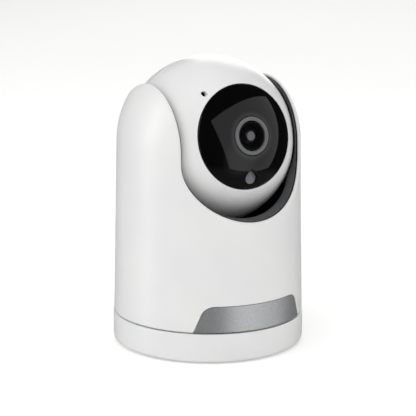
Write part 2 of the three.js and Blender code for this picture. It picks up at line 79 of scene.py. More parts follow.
# the window softbox is what the dark window mirrors; the others shape the white body
lightSettings = {
    "windowSoftbox": {"place": (0.5915, -0.8017, -0.0169), "facing": (-0.395, 0.7693, -0.5022),
                      "up": (-0.23, 0.4464, 0.8648), "size": (1.86, 1.77), "radiance": 0.62,
                      "diffuse": False},
    "leftSoftbox": {"place": (-1.25, 0.42, 0.3), "facing": (0.94, -0.33, -0.1), "up": (0, 0, 1),
                    "size": (0.42, 1.6), "radiance": 3.6, "diffuse": False},
    "leftFill": {"place": (-1.25, -0.05, 0.35), "facing": (0.96, 0.04, -0.2), "up": (0, 0, 1),
                 "size": (0.5, 1.6), "radiance": 1.9, "glossy": False},
    "fillSoftbox": {"place": (0.35, -1.3, 0.5), "facing": (-0.25, 0.93, -0.3), "up": (0, 0, 1),
                    "size": (0.8, 0.8), "radiance": 0.5, "glossy": False},
    "rimSoftbox": {"place": (0.9, 1.15, 0.4), "facing": (-0.6, -0.77, -0.2), "up": (0, 0, 1),
                   "size": (0.7, 1.6), "radiance": 2.2, "diffuse": False},
    "topSoftbox": {"place": (-0.1, -0.1, 1.5), "facing": (0, 0.06, -1), "up": (0, 1, 0),
                   "size": (1.3, 1.3), "radiance": 1.65, "glossy": False},
}
worldSettings = {
    "ambient": 0.59, "shown": 1.0, "mirroredAbove": 0.02, "mirroredBelow": 0.13,
    "belowStarts": -0.42, "belowEnds": -0.52,  # how steeply down a reflection looks
    "glow": 0.33, "glowFrom": (0.24, -0.94, -0.23), "glowStarts": 0.88,
}
floorSettings = {"reach": 12, "lift": 0.2}


def makeLight(name, settings):
    width, height = settings["size"]
    data = bpy.data.lights.new(name, "AREA")
    data.shape = "RECTANGLE"
    data.size = width
    data.size_y = height
    data.energy = settings["radiance"] * math.pi * width * height  # even radiance over the whole panel
    lamp = bpy.data.objects.new(name, data)
    turn = turnFrom(settings["facing"], settings["up"])
    lamp.matrix_world = Matrix.Translation(settings["place"]) @ turn
    lamp.visible_camera = False
    lamp.visible_glossy = settings.get("glossy", True)
    lamp.visible_diffuse = settings.get("diffuse", True)
    bpy.context.scene.collection.objects.link(lamp)
    return lamp


def addNode(tree, kind, settings=None, links=None):
    node = tree.nodes.new(kind)
    for key, value in (settings or {}).items():
        if isinstance(key, int) or key in node.inputs:
            node.inputs[key].default_value = value
        else:
            setattr(node, key, value)
    for key, source in (links or {}).items():
        tree.links.new(source, node.inputs[key])
    return node


def linear(hexColour):
    parts = [int(hexColour[i:i + 2], 16) / 255 for i in (1, 3, 5)]
    return tuple(p / 12.92 if p <= 0.04045 else ((p + 0.055) / 1.055) ** 2.4 for p in parts) + (1,)


def makeWorld(settings):
    # white to the eye, an even ambient to matt surfaces, and a dark room with a low glow to glossy ones
    world = bpy.data.worlds.new("studio")
    bpy.context.scene.world = world
    world.use_nodes = True
    tree = world.node_tree
    tree.nodes.clear()
    white = (1, 1, 1, 1)
    path = addNode(tree, "ShaderNodeLightPath").outputs
    way = addNode(tree, "ShaderNodeTexCoord").outputs["Generated"]
    height = addNode(tree, "ShaderNodeSeparateXYZ", links={0: way}).outputs["Z"]
    below = addNode(tree, "ShaderNodeMapRange", {
        "From Min": settings["belowStarts"], "From Max": settings["belowEnds"],
        "To Min": settings["mirroredAbove"], "To Max": settings["mirroredBelow"]}, {"Value": height})
    near = addNode(tree, "ShaderNodeVectorMath", {
        "operation": "DOT_PRODUCT", 1: settings["glowFrom"]}, {0: way})
    glow = addNode(tree, "ShaderNodeMapRange", {
        "interpolation_type": "SMOOTHSTEP", "From Min": settings["glowStarts"], "From Max": 1.0,
        "To Min": 0.0, "To Max": settings["glow"]}, {"Value": near.outputs["Value"]})
    level = addNode(tree, "ShaderNodeMath", {"operation": "ADD"}, {
        0: below.outputs[0], 1: glow.outputs[0]})
    ambient = addNode(tree, "ShaderNodeBackground", {"Color": white, "Strength": settings["ambient"]})
    shown = addNode(tree, "ShaderNodeBackground", {"Color": white, "Strength": settings["shown"]})
    mirrored = addNode(tree, "ShaderNodeBackground", {"Color": white}, {"Strength": level.outputs[0]})
    first = addNode(tree, "ShaderNodeMixShader", links={
        0: path["Is Glossy Ray"], 1: ambient.outputs[0], 2: mirrored.outputs[0]})
    second = addNode(tree, "ShaderNodeMixShader", links={
        0: path["Is Camera Ray"], 1: first.outputs[0], 2: shown.outputs[0]})
    addNode(tree, "ShaderNodeOutputWorld", links={"Surface": second.outputs[0]})


for lightName, settings in lightSettings.items():
    makeLight(lightName, settings)
makeWorld(worldSettings)
print("camera and lights ready")


def startMaterial(name, shader):
    # a material with one shader, handed back with its tree, the shader and the object's own coordinates
    material = bpy.data.materials.new(name)
    material.use_nodes = True
    tree = material.node_tree
    tree.nodes.clear()
    surface = addNode(tree, "ShaderNodeBsdfPrincipled", shader)
    addNode(tree, "ShaderNodeOutputMaterial", links={"Surface": surface.outputs[0]})
    coords = addNode(tree, "ShaderNodeTexCoord")
    return material, tree, surface, coords.outputs["Object"]


def patterned(name, look, shader):
    # a colour that drifts between two shades, under a fine grain in shine and height; sizes in millimetres
    material, tree, surface, coords = startMaterial(name, shader)
    drift = addNode(tree, "ShaderNodeTexNoise", {
        "Scale": 1000 / look["driftSize"], "Detail": 3}, {"Vector": coords})
    ramp = addNode(tree, "ShaderNodeValToRGB", links={"Fac": drift.outputs["Fac"]})
    dark, light = ramp.color_ramp.elements
    dark.position, light.position = 0.3, 0.7  # where the noise has nearly all of its spread
    dark.color, light.color = linear(look["dark"]), linear(look["light"])
    tree.links.new(ramp.outputs["Color"], surface.inputs["Base Color"])
    grainCoords = addNode(tree, "ShaderNodeMapping", {
        "Scale": look.get("stretch", (1, 1, 1))}, {"Vector": coords})
    grain = addNode(tree, "ShaderNodeTexNoise", {
        "Scale": 1000 / look["grainSize"], "Detail": 2, "Roughness": 0.6}, {"Vector": grainCoords.outputs[0]})
    sheen = addNode(tree, "ShaderNodeMapRange", {
        "To Min": look["smooth"], "To Max": look["rough"]}, {"Value": grain.outputs["Fac"]})
    tree.links.new(sheen.outputs[0], surface.inputs["Roughness"])
    bump = addNode(tree, "ShaderNodeBump", {
        "Strength": 1, "Distance": look["relief"] * mm}, {"Height": grain.outputs["Fac"]})
    tree.links.new(bump.outputs[0], surface.inputs["Normal"])
    return material


# ABS moulded in a lightly blasted steel tool: near white, satin, the faintest eggshell texture
whiteAbs = patterned("white ABS, moulded satin", {
    "dark": "#e3e4e4", "light": "#e9e9e8", "driftSize": 30, "grainSize": 0.45,
    "smooth": 0.3, "rough": 0.42, "relief": 0.012}, {"IOR": 1.53})
# the same resin from a polished tool: a touch glossier on the ball
ballAbs = patterned("white ABS, moulded polished", {
    "dark": "#e3e4e4", "light": "#e9e9e8", "driftSize": 30, "grainSize": 0.5,
    "smooth": 0.24, "rough": 0.34, "relief": 0.008}, {"IOR": 1.53})
# grey ABS from a spark-eroded tool: matt, with a fine sandy grain
greyAbs = patterned("grey ABS, spark-textured", {
    "dark": "#48494b", "light": "#505153", "driftSize": 8, "grainSize": 0.35,
    "smooth": 0.5, "rough": 0.65, "relief": 0.02}, {"IOR": 1.53})
# black ABS, textured: soaks up light inside the shell
blackAbs = patterned("black ABS, spark-textured", {
    "dark": "#0d0d0e", "light": "#141415", "driftSize": 6, "grainSize": 0.35,
    "smooth": 0.5, "rough": 0.68, "relief": 0.02}, {"IOR": 1.53})
# acrylic dyed black and moulded optically smooth: a deep mirror with the softest orange peel
blackAcrylic = patterned("black acrylic, polished mould", {
    "dark": "#040405", "light": "#060607", "driftSize": 12, "grainSize": 6,
    "smooth": 0.03, "rough": 0.055, "relief": 0.004}, {"IOR": 1.49})
# the lens hood's ABS, dyed deep black and blasted: hardly any shine, so the bowl swallows the light
hoodBlack = patterned("black ABS, blasted dull", {
    "dark": "#050506", "light": "#09090a", "driftSize": 4, "grainSize": 0.3,
    "smooth": 0.6, "rough": 0.75, "relief": 0.015}, {"IOR": 1.5, "Specular IOR Level": 0.2})
# ABS sprayed a soft grey: an even satin film on the lens ring
ringPaint = patterned("grey paint, sprayed satin", {
    "dark": "#626365", "light": "#6b6c6e", "driftSize": 4, "grainSize": 0.3,
    "smooth": 0.3, "rough": 0.42, "relief": 0.008}, {"IOR": 1.5, "Metallic": 0.15})
# silver lacquer with aluminium flake: fine sparkle, broad metallic sheen
silverLacquer = patterned("silver lacquer, sprayed flake", {
    "dark": "#b9bbbd", "light": "#cfd1d2", "driftSize": 0.5, "grainSize": 0.25,
    "smooth": 0.3, "rough": 0.44, "relief": 0.006}, {"Metallic": 0.72})
# nickel-plated steel, drawn and pressed: light grey with fine draw lines
drawnSteel = patterned("steel, pressed and plated", {
    "dark": "#9fa1a3", "light": "#b2b4b6", "driftSize": 3, "grainSize": 0.3,
    "smooth": 0.22, "rough": 0.42, "relief": 0.008, "stretch": (1, 1, 0.1)}, {"Metallic": 1})
# brass, hobbed and turned
turnedBrass = patterned("brass, turned", {
    "dark": "#a8893f", "light": "#bd9f58", "driftSize": 2, "grainSize": 0.2,
    "smooth": 0.25, "rough": 0.4, "relief": 0.006, "stretch": (1, 1, 8)}, {"Metallic": 1})
# natural nylon: milky and slightly waxy
milkyNylon = patterned("nylon, moulded natural", {
    "dark": "#d5d0c0", "light": "#e0dccd", "driftSize": 3, "grainSize": 0.4,
    "smooth": 0.4, "rough": 0.55, "relief": 0.01},
    {"IOR": 1.53, "Subsurface Weight": 0.1, "Subsurface Radius": (0.001, 0.001, 0.001)})
# silicone rubber, compression moulded: dead matt charcoal
siliconeRubber = patterned("silicone rubber, moulded", {
    "dark": "#1f1f20", "light": "#2a2a2b", "driftSize": 3, "grainSize": 0.3,
    "smooth": 0.8, "rough": 0.95, "relief": 0.03}, {"IOR": 1.42})
# epoxy chip package: fine matt black
chipEpoxy = patterned("epoxy, transfer moulded", {
    "dark": "#121213", "light": "#1c1c1d", "driftSize": 1, "grainSize": 0.15,
    "smooth": 0.6, "rough": 0.8, "relief": 0.01}, {"IOR": 1.55})


def circuitBoard(look):
    # woven glass and epoxy under green solder mask: copper lines read as paler green stripes
    material, tree, surface, coords = startMaterial("circuit board, solder-masked", look["shader"])
    cells = addNode(tree, "ShaderNodeTexVoronoi", {
        "distance": "MANHATTAN", "feature": "DISTANCE_TO_EDGE", "Scale": look["cellsPerMetre"]},
        {"Vector": coords})
    track = addNode(tree, "ShaderNodeMath", {
        "operation": "LESS_THAN", 1: look["trackWidth"]}, {0: cells.outputs["Distance"]})
    mask = addNode(tree, "ShaderNodeMix", {
        "data_type": "RGBA", 6: linear(look["mask"]), 7: linear(look["track"])}, {0: track.outputs[0]})
    tree.links.new(mask.outputs[2], surface.inputs["Base Color"])
    bump = addNode(tree, "ShaderNodeBump", {
        "Strength": 1, "Distance": look["relief"] * mm}, {"Height": track.outputs[0]})
    tree.links.new(bump.outputs[0], surface.inputs["Normal"])
    return material


def coatedGlass(name, look):
    # a ground or cast clear body: dark wet shine, with a faint coloured coating that drifts over it
    material, tree, surface, coords = startMaterial(name, {
        "IOR": 1.62, "Coat Weight": 1, "Coat IOR": 1.38, "Coat Roughness": 0.02})
    drift = addNode(tree, "ShaderNodeTexNoise", {
        "Scale": look["driftsPerMetre"], "Detail": 1}, {"Vector": coords})
    mix = addNode(tree, "ShaderNodeMix", {
        "data_type": "RGBA", 6: linear(look["tint"]), 7: linear(look["glow"])}, {0: drift.outputs["Fac"]})
    tree.links.new(mix.outputs[2], surface.inputs["Base Color"])
    smear = addNode(tree, "ShaderNodeMapRange", {
        "To Min": look["smooth"], "To Max": look["rough"]}, {"Value": drift.outputs["Fac"]})
    tree.links.new(smear.outputs[0], surface.inputs["Roughness"])
    return material


def distanceFromLensAxis(tree, coords):
    fromPivot = addNode(tree, "ShaderNodeVectorMath", {
        "operation": "SUBTRACT", 1: (0, 0, axisHeight * mm)}, {0: coords})
    across = addNode(tree, "ShaderNodeVectorMath", {
        "operation": "CROSS_PRODUCT", 1: lensAxis}, {0: fromPivot.outputs[0]})
    length = addNode(tree, "ShaderNodeVectorMath", {"operation": "LENGTH"}, {0: across.outputs[0]})
    return length.outputs["Value"]


def paintedGlowRound(material, look):
    # painted glow: the acrylic's colour is made a shade lighter round the lens bore, standing in for the soft
    # reflected light round the ring
    tree = material.node_tree
    surface = next(node for node in tree.nodes if node.type == "BSDF_PRINCIPLED")
    plain = surface.inputs["Base Color"].links[0].from_socket
    coords = addNode(tree, "ShaderNodeTexCoord").outputs["Object"]
    share = addNode(tree, "ShaderNodeMapRange", {
        "interpolation_type": "SMOOTHSTEP", "From Min": look["from"] * mm, "From Max": look["to"] * mm,
        "To Min": 1.0, "To Max": 0.0}, {"Value": distanceFromLensAxis(tree, coords)})
    mix = addNode(tree, "ShaderNodeMix", {
        "data_type": "RGBA", 7: linear(look["colour"])}, {0: share.outputs[0], 6: plain})
    tree.links.new(mix.outputs[2], surface.inputs["Base Color"])


def ringedGlassPaintedReflection(look):
    # a ground and coated lens: black from the side, a painted reflection as a grey disc in the middle, and
    # fine rings round it
    material, tree, surface, coords = startMaterial("lens glass, ground and coated", look["shader"])
    reach = addNode(tree, "ShaderNodeMapRange", {
        "From Min": 0.0, "From Max": look["radius"] * mm}, {"Value": distanceFromLensAxis(tree, coords)})
    ramp = addNode(tree, "ShaderNodeValToRGB", links={"Fac": reach.outputs[0]})
    stops = ramp.color_ramp.elements
    for place, colour in look["rings"]:
        stop = stops.new(place)
        stop.color = linear(colour)
    stops.remove(stops[-1])  # the two stops that a new ramp starts with
    stops.remove(stops[0])
    tree.links.new(ramp.outputs["Color"], surface.inputs["Base Color"])
    return material


boardGreen = circuitBoard({
    "shader": {"IOR": 1.55, "Roughness": 0.3}, "cellsPerMetre": 420, "trackWidth": 0.07,
    "mask": "#0f4a2b", "track": "#1f6a3e", "relief": 0.03})
lensGlass = coatedGlass("optical glass, coated", {
    "tint": "#14161c", "glow": "#20202a", "driftsPerMetre": 260, "smooth": 0.018, "rough": 0.042})
# painted glow: a lighter colour round the lens opening stands in for reflected light
paintedGlowRound(blackAcrylic, {"from": 7.8, "to": 10.2, "colour": "#2c2c2e"})
# painted reflection: the grey from 0.02 to 0.49 of the radius stands in for a highlight on the lens; the
# darker rings are the lens's own
frontGlass = ringedGlassPaintedReflection({
    "shader": {"IOR": 1.5, "Roughness": 0.06, "Specular IOR Level": 0.35}, "radius": 3.5,
    "rings": [(0.02, "#606063"), (0.49, "#606063"), (0.54, "#0a0a0b"), (0.62, "#0a0a0b"),
              (0.66, "#2a2a2d"), (0.72, "#08080a"), (0.9, "#0c0c0e"), (0.97, "#1c1c1f")]})
ledEpoxy = coatedGlass("epoxy LED, cast clear", {
    "tint": "#2a1c24", "glow": "#3a2a30", "driftsPerMetre": 260, "smooth": 0.048, "rough": 0.112})
# acrylic smoked grey and moulded: the light guide's even grey
smokedGuide = patterned("smoked acrylic, moulded", {
    "dark": "#6c6b70", "light": "#77767b", "driftSize": 2, "grainSize": 0.8,
    "smooth": 0.25, "rough": 0.35, "relief": 0.004}, {"IOR": 1.49})
# uncoated paper, rolled: matt and nearly white, lifted a little so that it meets the white behind it
floorPaper = patterned("paper sweep, matt", {
    "dark": "#f4f4f3", "light": "#f8f8f7", "driftSize": 400, "grainSize": 1.5,
    "smooth": 0.85, "rough": 0.95, "relief": 0.002},
    {"Specular IOR Level": 0.1, "Emission Color": (1, 1, 1, 1), "Emission Strength": floorSettings["lift"]})

nodeFinishes = {
    whiteAbs: ["base_cup", "body_shell"],
    ballAbs: ["head_front_shell", "head_rear_shell"],
    greyAbs: ["scoop_liner", "reset_button"],
    blackAbs: ["head_cup", "turntable", "speaker", "lens_barrel", "lens_holder", "head_bracket"],
    hoodBlack: ["lens_hood"],
    blackAcrylic: ["front_window"],
    frontGlass: ["front_lens"],
    ringPaint: ["lens_ring"],
    silverLacquer: ["front_trim_panel"],
    smokedGuide: ["light_sensor_guide"],
    siliconeRubber: ["rubber_foot_ring"],
    milkyNylon: ["fixed_pan_gear", "pan_thrust_washer", "fixed_tilt_gear"],
    turnedBrass: ["pan_pinion", "tilt_pinion", "tilt_bearing_left", "tilt_bearing_right", "wifi_antenna"],
    boardGreen: ["power_board", "main_board", "sensor_board", "infrared_board"],
    chipEpoxy: ["power_regulator", "main_processor", "reset_switch"],
    lensGlass: ["rear_lens", "infrared_filter_slider", "image_sensor"],
    ledEpoxy: [f"infrared_led_{number}" for number in range(1, 7)],
    drawnSteel: ["hub_retainer", "power_socket", "pan_motor", "wifi_module", "memory_card_socket",
                 "tilt_pin_left", "tilt_pin_right", "microphone", "tilt_motor",
                 "head_screw_left", "head_screw_right"]
                + [f"retainer_screw_{number}" for number in (1, 2, 3)]
                + [f"turntable_screw_{number}" for number in (1, 2, 3)],
}
for finish, nodeNames in nodeFinishes.items():
    for nodeName in nodeNames:
        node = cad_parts[nodeName]
        node.data.materials.clear()
        node.data.materials.append(finish)
missed = set(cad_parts) - {name for names in nodeFinishes.values() for name in names}
print("materials ready; nodes without a finish:", sorted(missed))


weldGap = 0.002 * mm
past = 60  # in front of or behind every piece, in millimetres
above = 130  # higher than every piece


def startPiece(name, place):
    bpy.ops.object.select_all(action="DESELECT")
    bpy.ops.mesh.primitive_plane_add(size=mm, location=place)
    piece = bpy.context.object
    piece.name = name
    piece.data.name = name
    return piece


def finishPlace(piece):
    bpy.ops.object.select_all(action="DESELECT")
    piece.select_set(True)
    bpy.context.view_layer.objects.active = piece
    bpy.ops.object.transform_apply(location=True, rotation=True, scale=True)


def drawChain(name, points):
    # one corner drawn out from point to point, and back to the first
    piece = startPiece(name, points[0])
    bpy.ops.object.mode_set(mode="EDIT")
    bpy.ops.mesh.select_all(action="SELECT")
    bpy.ops.mesh.merge(type="CENTER")
    here = Vector(points[0])
    for point in list(points[1:]) + [points[0]]:
        bpy.ops.mesh.extrude_vertices_move(TRANSFORM_OT_translate={"value": Vector(point) - here})
        here = Vector(point)
    bpy.ops.mesh.select_all(action="SELECT")
    bpy.ops.mesh.remove_doubles(threshold=weldGap)
    return piece


def tidyMesh():
    bpy.ops.mesh.select_all(action="SELECT")
    bpy.ops.mesh.remove_doubles(threshold=weldGap)
    bpy.ops.mesh.normals_make_consistent(inside=False)
    bpy.ops.object.mode_set(mode="OBJECT")


def turnedPiece(name, outline, along="Z", steps=128):
    # outline: closed loop of (radius, place along the axis) in millimetres
    if along == "Z":
        points = [Vector((r, 0, h)) * mm for r, h in outline]
        axis = (0, 0, 1)
    else:
        points = [Vector((r, h, 0)) * mm for r, h in outline]
        axis = (0, 1, 0)
    piece = drawChain(name, points)
    bpy.ops.mesh.select_all(action="SELECT")
    bpy.ops.mesh.spin(steps=steps, angle=2 * math.pi, center=(0, 0, 0), axis=axis)
    tidyMesh()
    finishPlace(piece)
    return piece


def pushedPiece(name, outline, start, end):
    # outline: loop of (x, z) in millimetres, pushed along Y
    piece = drawChain(name, [Vector((x, start, z)) * mm for x, z in outline])
    bpy.ops.mesh.select_all(action="SELECT")
    bpy.ops.mesh.edge_face_add()
    bpy.ops.mesh.extrude_region_move(TRANSFORM_OT_translate={"value": (0, (end - start) * mm, 0)})
    tidyMesh()
    finishPlace(piece)
    return piece


def blockPiece(name, size, place, rounding, segments=6):
    # a block whose edges along Y are rounded
    bpy.ops.object.select_all(action="DESELECT")
    bpy.ops.mesh.primitive_cube_add(size=1, location=Vector(place) * mm, scale=Vector(size) * mm)
    piece = bpy.context.object
    piece.name = name
    finishPlace(piece)
    bpy.ops.object.mode_set(mode="EDIT")
    bpy.ops.mesh.select_all(action="DESELECT")
    bpy.ops.object.mode_set(mode="OBJECT")
    bpy.context.tool_settings.mesh_select_mode = (False, True, False)
    for edge in piece.data.edges:
        a, b = (piece.data.vertices[i].co for i in edge.vertices)
        edge.select = abs((a - b).normalized().y) > 0.9
    bpy.ops.object.mode_set(mode="EDIT")
    bpy.ops.mesh.bevel(offset=rounding * mm, segments=segments, affect="EDGES")
    bpy.ops.object.mode_set(mode="OBJECT")
    bpy.context.tool_settings.mesh_select_mode = (True, False, False)
    return piece


def rodPiece(name, radius, start, end, x, z, sides=48):
    # a rod along Y
    middle = Vector((x, (start + end) / 2, z)) * mm
    bpy.ops.object.select_all(action="DESELECT")
    bpy.ops.mesh.primitive_cylinder_add(vertices=sides, radius=radius * mm, depth=(end - start) * mm,
                                        location=middle, rotation=(math.pi / 2, 0, 0))
    piece = bpy.context.object
    piece.name = name
    finishPlace(piece)
    return piece


def ballPiece(name, radius, along, height, steps):
    outline = [(r, height + h) for r, h in arc(radius, 0, -math.pi / 2, math.pi / 2, 64)]
    return turnedPiece(name, outline, along, steps)


def carve(piece, *cutters, operation="DIFFERENCE"):
    for cutter in cutters:
        cut = piece.modifiers.new("cut", "BOOLEAN")
        cut.operation = operation
        cut.solver = "EXACT"
        cut.object = cutter
        bpy.context.view_layer.objects.active = piece
        bpy.ops.object.modifier_apply(modifier=cut.name)
        bpy.data.objects.remove(cutter)
    return piece


def breakEdges(piece, width, angle, segments):
    bevel = piece.modifiers.new("edge break", "BEVEL")
    bevel.width = width * mm
    bevel.segments = segments
    bevel.limit_method = "ANGLE"
    bevel.angle_limit = math.radians(angle)
    bpy.context.view_layer.objects.active = piece
    bpy.ops.object.modifier_apply(modifier=bevel.name)


def dress(piece, finish, body, nodes, angle=35, inHead=False):
    # the finished piece takes its finish, rides on its body and stands for its CAD nodes
    if inHead:
        piece.data.transform(headTurn)
    piece.data.materials.clear()
    piece.data.materials.append(finish)
    bpy.ops.object.select_all(action="DESELECT")
    piece.select_set(True)
    bpy.context.view_layer.objects.active = piece
    bpy.ops.object.shade_smooth_by_angle(angle=math.radians(angle))
    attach(piece, body)
    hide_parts(*nodes)
    print("made", piece.name, len(piece.data.polygons), "faces")
    return piece


def arc(radius, centre, start, end, steps):
    angles = [start + (end - start) * i / steps for i in range(steps + 1)]
    return [(radius * math.cos(a), centre + radius * math.sin(a)) for a in angles]


def roundCorner(corner, before, after, radius, steps):
    # a quarter-round between two straight runs of an outline
    corner, before, after = Vector(corner), Vector(before), Vector(after)
    first = corner + (before - corner).normalized() * radius
    last = corner + (after - corner).normalized() * radius
    made = []
    for i in range(steps + 1):
        t = i / steps
        made.append(tuple(first * (1 - t) ** 2 + corner * 2 * t * (1 - t) + last * t ** 2))
    return made


baseCupLook = {
    "radius": 39.3, "underside": 0.6, "top": 12.4, "bottomRound": 2.0, "topRound": 0.45, "wall": 2,
    "footGroove": (28.4, 34.6, 0.8),  # inner radius, outer radius, depth
    "floor": 2.6,
    "hub": [(12, 2.6), (12, 7.5), (9, 7.5), (9, 13.3), (8.7, 13.3), (8.7, 16), (5, 16), (5, 2.6)],
    "inlet": (12, 8, 6.5), "inletPlace": (0, 38, 6.3), "inletRound": 1.4, "steps": 180,
}


def makeBaseCup(look):
    radius, low, high = look["radius"], look["underside"], look["top"]
    grooveInner, grooveOuter, grooveDepth = look["footGroove"]
    grooveTop = low + grooveDepth
    inner = radius - look["wall"]
    outline = [(0, low), (grooveInner, low), (grooveInner, grooveTop)]
    outline += [(grooveOuter, grooveTop), (grooveOuter, low)]
    outline += roundCorner((radius, low), (0, low), (radius, high), look["bottomRound"], 8)
    outline += roundCorner((radius, high), (radius, low), (0, high), look["topRound"], 4)
    outline += [(inner, high), (inner, look["floor"])] + look["hub"] + [(0, look["floor"])]
    cup = turnedPiece("base_cup_moulding", outline, steps=look["steps"])
    carve(cup, blockPiece("inlet", look["inlet"], look["inletPlace"], look["inletRound"]))
    return dress(cup, whiteAbs, "base", ["base_cup"])


footLook = {"inner": 28.7, "outer": 34.3, "height": 1.2, "round": 0.35, "steps": 128}


def makeFoot(look):
    inner, outer, height = look["inner"], look["outer"], look["height"]
    outline = roundCorner((inner, 0), (inner, height), (outer, 0), look["round"], 3)
    outline += roundCorner((outer, 0), (inner, 0), (outer, height), look["round"], 3)
    outline += [(outer, height), (inner, height)]
    foot = turnedPiece("foot_ring_moulding", outline, steps=look["steps"])
    return dress(foot, siliconeRubber, "base", ["rubber_foot_ring"])


makeBaseCup(baseCupLook)
makeFoot(footLook)

shellLook = {
    "bottom": 12.9, "bottomRadius": 39, "domeRadius": 37.6, "wall": 1.1, "wallAtBottom": 1.9,
    "scoopHalf": 27.3, "frontCentre": 79.8, "frontDepth": 23.2, "rearCentre": 90, "rearDepth": 16,
    "edgeRound": 1.7, "footRound": [(0.35, 0), (0.1, 0.1), (0, 0.35)],  # in from the skin, and up
    "evenShare": 0.5,  # how far the columns even out on the way down to the foot
    "columnsPerSide": 170, "outerRows": 56, "edgeRows": 7, "innerRows": 14,
    "scoopSamples": 400, "sideSamples": 60, "earSamples": 700,
}


def skinRun(look):
    # the straight side's height, and how much its radius shrinks with each millimetre up
    straight = axisHeight - look["bottom"]
    return straight, (look["bottomRadius"] - look["domeRadius"]) / straight


def shellPoint(look, turn, rise):
    # a point of the skin and its outward direction: turn from the front, rise along the skin from the foot
    straight, lean = skinRun(look)
    up = np.clip((rise - straight) / look["domeRadius"], 0, None)
    onCone = rise < straight
    radius = np.where(onCone, look["bottomRadius"] - lean * rise, look["domeRadius"] * np.cos(up))
    height = np.where(onCone, look["bottom"] + rise, axisHeight + look["domeRadius"] * np.sin(up))
    point = np.stack([radius * np.sin(turn), -radius * np.cos(turn), height], -1)
    flat = np.where(onCone, 1, np.cos(up))
    out = np.stack([flat * np.sin(turn), -flat * np.cos(turn), np.where(onCone, lean, np.sin(up))], -1)
    return point, out / np.linalg.norm(out, axis=-1, keepdims=True)


def shellPlace(look, point):
    # the turn and rise of a point on or near the skin
    straight, _ = skinRun(look)
    turn = np.arctan2(point[..., 0], -point[..., 1])
    radius = np.hypot(point[..., 0], point[..., 1])
    height = point[..., 2]
    up = np.arctan2(height - axisHeight, radius)
    rise = np.where(height < axisHeight, height - look["bottom"], straight + look["domeRadius"] * up)
    return turn, rise


def scoopEdge(look):
    # half of the opening's edge on the skin, from the front middle over the ear to the rear middle,
    # with the direction away from the opening at each point
    half = look["scoopHalf"]
    _, lean = skinRun(look)
    curve, side, ear = look["scoopSamples"], look["sideSamples"], look["earSamples"]
    fine = []

    def onSkin(x, z, way):
        if z > axisHeight:
            across = look["domeRadius"] ** 2 - (z - axisHeight) ** 2
        else:
            across = (look["bottomRadius"] - lean * (z - look["bottom"])) ** 2
        return (x, way * math.sqrt(max(across - x * x, 0)), z)

    def onScoop(s, centre, depth, way):
        point = onSkin(half * math.sin(s), centre - depth * math.cos(s), way)
        fine.append((point, (math.sin(s) / half, 0, -math.cos(s) / depth)))

    for i in range(curve):
        onScoop(math.pi / 2 * i / curve, look["frontCentre"], look["frontDepth"], -1)
    for i in range(side):
        z = look["frontCentre"] + (axisHeight - look["frontCentre"]) * i / side
        fine.append((onSkin(half, z, -1), (1, 0, 0)))
    reach = math.sqrt(look["domeRadius"] ** 2 - half ** 2)
    last = math.pi - math.asin((look["rearCentre"] - axisHeight) / reach)
    for i in range(ear):
        a = last * i / ear
        fine.append(((half, -reach * math.cos(a), axisHeight + reach * math.sin(a)), (1, 0, 0)))
    for i in range(curve + 1):
        onScoop(math.pi / 2 * (1 - i / curve), look["rearCentre"], look["rearDepth"], 1)
    points = np.array([p for p, _ in fine])
    sides = np.array([s for _, s in fine])
    length = np.concatenate([[0], np.cumsum(np.linalg.norm(np.diff(points, axis=0), axis=1))])
    even = np.linspace(0, length[-1], look["columnsPerSide"] + 1)
    points = np.stack([np.interp(even, length, points[:, i]) for i in range(3)], 1)
    sides = np.stack([np.interp(even, length, sides[:, i]) for i in range(3)], 1)
    return points, sides / np.linalg.norm(sides, axis=1, keepdims=True)


def shellSections(look):
    # rows of points from the foot up the skin, round the opening's edge and down the inside
    edge, away = scoopEdge(look)
    along = np.gradient(edge, axis=0)
    along[0], along[-1] = (1, 0, 0), (-1, 0, 0)
    along /= np.linalg.norm(along, axis=1, keepdims=True)
    turn, rise = shellPlace(look, edge)
    _, out = shellPoint(look, turn, rise)
    inward = np.cross(along, away)
    inward *= -np.sign(np.sum(inward * out, 1, keepdims=True))
    inward /= np.linalg.norm(inward, axis=1, keepdims=True)
    outward = np.cross(along, out)
    outward *= np.sign(np.sum(outward * away, 1, keepdims=True))
    outward /= np.linalg.norm(outward, axis=1, keepdims=True)
    skinTurn, skinRise = shellPlace(look, edge + outward * look["edgeRound"])
    skinTurn[0], skinTurn[-1] = 0, math.pi
    skinEnd, _ = shellPoint(look, skinTurn, skinRise)
    wallEnd = edge + inward * (look["wall"] / np.abs(np.sum(inward * out, 1, keepdims=True)))
    even = np.linspace(0, math.pi, look["columnsPerSide"] + 1)
    footTurn = look["evenShare"] * even + (1 - look["evenShare"]) * skinTurn
    rows = []
    for drop, low in look["footRound"]:
        point, out = shellPoint(look, footTurn, np.full_like(footTurn, low))
        rows.append(point - out * drop)
    for i in range(1, look["outerRows"]):
        share = i / look["outerRows"]
        here = footTurn + (skinTurn - footTurn) * share
        point, _ = shellPoint(look, here, low + (skinRise - low) * share)
        rows.append(point)
    for i in range(look["edgeRows"] + 1):
        a = math.pi / 2 * i / look["edgeRows"]
        rows.append(edge + (skinEnd - edge) * (1 - math.sin(a)) + (wallEnd - edge) * (1 - math.cos(a)))
    straight, _ = skinRun(look)
    wallTurn, wallRise = shellPlace(look, wallEnd)
    for i in range(1, look["innerRows"] + 1):
        share = i / look["innerRows"]
        rise = wallRise * (1 - share)
        point, out = shellPoint(look, wallTurn + (footTurn - wallTurn) * share, rise)
        thick = look["wall"] + (look["wallAtBottom"] - look["wall"]) * np.clip(1 - rise / straight, 0, 1)
        rows.append(point - out * thick[:, None])
    rows.append(rows[0])
    half = np.array(rows)
    other = half[:, -2:0:-1].copy()
    other[..., 0] *= -1
    return np.concatenate([half, other, half[:, :1]], 1)


